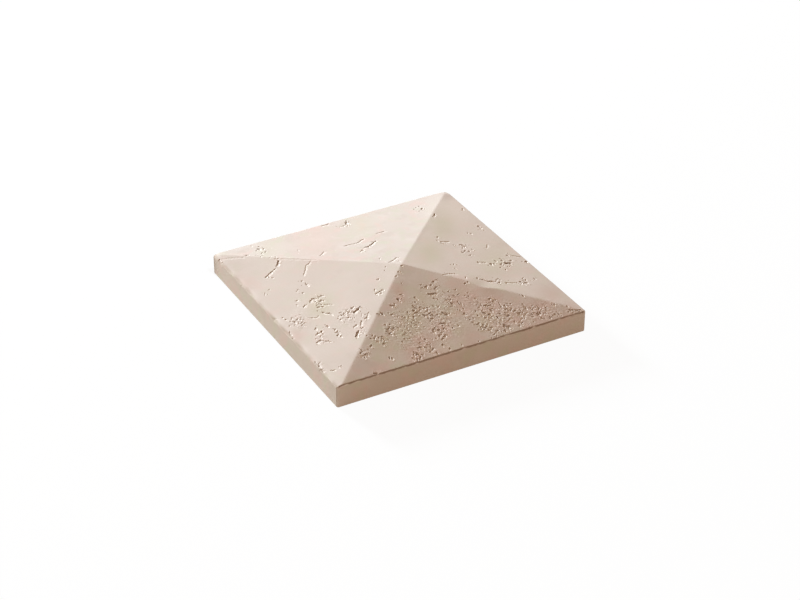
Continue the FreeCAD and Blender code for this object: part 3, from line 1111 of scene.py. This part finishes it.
def weathered_stone():
    """Stone of the falls and the band: mottled, stained in patches, paler on two falls by painted light,
    with dirt and painted shade in the pits, painted shade under the lip, painted highlights, crumbly and
    sandy.
    """
    material, nodes, shader = new_material("weathered_stone")
    place = nodes.add("ShaderNodeTexCoord").outputs["Object"]
    specks = nodes.lots(place, SPECK_SCALE)
    rough = nodes.attribute("rough")
    colour = mottle(nodes, FALL_SHADES)
    # The pale patches are the stone's own; the near left and far right falls are also paler by painted
    # light.
    tints = {"pale_and_painted_light": PALE_AND_PAINTED_LIGHT_COLOUR, "grimy": GRIME_COLOUR, "ochre": OCHRE_COLOUR, "rust": RUST_COLOUR}
    for name, tint in tints.items():
        colour = nodes.mix(nodes.attribute(name), colour, opaque(tint))
    colour = nodes.mix(nodes.attribute("band"), colour, mottle(nodes, BAND_SHADES))
    # Painted highlight on the rims and on the run-outs lit by the key.
    colour = nodes.mix(nodes.attribute("painted_highlight"), colour, opaque(PAINTED_HIGHLIGHT_COLOUR))
    # Pale and dark specks of the crumbly ground, as painted highlight and painted shade.
    for lot, strength, tint in (("Red", PAINTED_HIGHLIGHT_SPECKS, PAINTED_HIGHLIGHT_COLOUR), ("Green", PAINTED_SHADE_SPECKS, DIRT_AND_PAINTED_SHADE_COLOUR)):
        share = nodes.product(nodes.span(specks[lot], *SPECK_EDGE, 0.0, strength), rough)
        colour = nodes.mix(share, colour, opaque(tint))
    # Dark colour in the pits, dirt and painted shade, and under the lip, painted shade.
    for name in ("pit", "lip"):
        colour = nodes.mix(nodes.attribute(name), colour, opaque(DIRT_AND_PAINTED_SHADE_COLOUR))
    nodes.link(colour, shader.inputs["Base Color"])
    grain = nodes.group(GRAIN, **{"Grain Scale": GRAIN_SCALE, "Pore Scale": PORE_SCALE})
    sandy = finish_stone(nodes, shader, grain, GRAIN_BUMP)
    crumbly = nodes.add("ShaderNodeBump")
    crumbly.inputs["Distance"].default_value = CRUMB_DEPTH
    nodes.link(nodes.product(specks["Blue"], rough), crumbly.inputs["Height"])
    nodes.link(crumbly.outputs["Normal"], sandy.inputs["Normal"])
    return material


def bed_stone():
    """Stone of the underside: greyer and more open, as it left the mould."""
    material, nodes, shader = new_material("bed_stone")
    nodes.link(mottle(nodes, BED_SHADES), shader.inputs["Base Color"])
    grain = nodes.group(GRAIN, **{"Grain Scale": GRAIN_SCALE, "Pore Scale": BED_PORE_SCALE})
    finish_stone(nodes, shader, grain, BED_GRAIN_BUMP)
    return material


def floor_material():
    """A pale floor, which is white to the camera and keeps a trace of its shade."""
    material, nodes, shader = new_material("studio_floor")
    shader.inputs["Base Color"].default_value = opaque(FLOOR_COLOUR)
    shader.inputs["Roughness"].default_value = FLOOR_ROUGHNESS
    white = nodes.add("ShaderNodeEmission")
    white.inputs["Color"].default_value = opaque(FLOOR_WHITE)
    shade = nodes.add("ShaderNodeBsdfDiffuse")
    shade.inputs["Color"].default_value = opaque(FLOOR_WHITE)
    shaded = nodes.add("ShaderNodeMixShader")
    shaded.inputs["Fac"].default_value = FLOOR_SHADE
    nodes.link(white.outputs["Emission"], shaded.inputs[1])
    nodes.link(shade.outputs["BSDF"], shaded.inputs[2])
    path = nodes.add("ShaderNodeLightPath")
    seen = path.outputs["Is Camera Ray"]
    for ray in ("Is Glossy Ray", "Is Transmission Ray"):
        either = nodes.add("ShaderNodeMath", operation="MAXIMUM")
        nodes.link(seen, either.inputs[0])
        nodes.link(path.outputs[ray], either.inputs[1])
        seen = either.outputs["Value"]
    choice = nodes.add("ShaderNodeMixShader")
    nodes.link(seen, choice.inputs["Fac"])
    nodes.link(shader.outputs["BSDF"], choice.inputs[1])
    nodes.link(shaded.outputs["Shader"], choice.inputs[2])
    nodes.link(choice.outputs["Shader"], material.node_tree.nodes["Material Output"].inputs["Surface"])
    return material


def add_panel(name, corners):
    """A flat four-cornered piece of the studio."""
    mesh = bpy.data.meshes.new(name)
    mesh.from_pydata(corners, [], [(0, 1, 2, 3)])
    panel = bpy.data.objects.new(name, mesh)
    bpy.context.scene.collection.objects.link(panel)
    return panel


def add_floor():
    """The studio floor under the cap."""
    corners = [(x * FLOOR_REACH, y * FLOOR_REACH, 0.0) for x, y in ((-1, -1), (1, -1), (1, 1), (-1, 1))]
    add_panel("floor", corners).data.materials.append(floor_material())


def add_card():
    """A card out of sight, which only shades the far band from the key."""
    far = HALF + CARD_GAP
    left = -HALF - CARD_PAST
    ends = ((left, 0.0), (HALF, 0.0), (HALF, CARD_HEIGHT), (left, CARD_HEIGHT))
    card = add_panel("card", [(x, far, z) for x, z in ends])
    card.visible_camera = False
    card.visible_diffuse = False
    card.visible_glossy = False
    card.visible_transmission = False


def add_light(name, light):
    """A round soft light that faces the cap."""
    lamp = bpy.data.lights.new(name, "AREA")
    lamp.shape = "DISK"
    lamp.size = light.size
    lamp.energy = light.power
    lamp.color = light.colour
    lantern = bpy.data.objects.new(name, lamp)
    way = Vector(toward(light))
    lantern.location = way * light.distance
    lantern.rotation_euler = way.to_track_quat("Z", "Y").to_euler()
    bpy.context.scene.collection.objects.link(lantern)


def add_ambient():
    """Even warm light from all round."""
    world = bpy.data.worlds.new("studio")
    world.use_nodes = True
    background = world.node_tree.nodes["Background"]
    background.inputs["Color"].default_value = opaque(AMBIENT_COLOUR)
    background.inputs["Strength"].default_value = AMBIENT_STRENGTH
    bpy.context.scene.world = world


def add_camera():
    """The picture's camera."""
    place, _, _, back = view_axes()
    lens = bpy.data.cameras.new("picture_view")
    lens.sensor_width = SENSOR_WIDTH
    lens.lens = FOCAL_PIXELS / IMAGE_SIZE[0] * SENSOR_WIDTH
    camera = bpy.data.objects.new("picture_view", lens)
    camera.location = place
    camera.rotation_euler = Vector(back).to_track_quat("Z", "Y").to_euler()
    bpy.context.scene.collection.objects.link(camera)
    bpy.context.scene.camera = camera


MOTTLE = mottle_group()
GRAIN = grain_group()
cap = make_cap()
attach(cap, BODY)
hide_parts(NODE)
add_floor()
add_card()
add_light("key", KEY)
add_light("near_fill", NEAR_FILL)
add_ambient()
add_camera()
bpy.context.scene.view_settings.view_transform = "Standard"
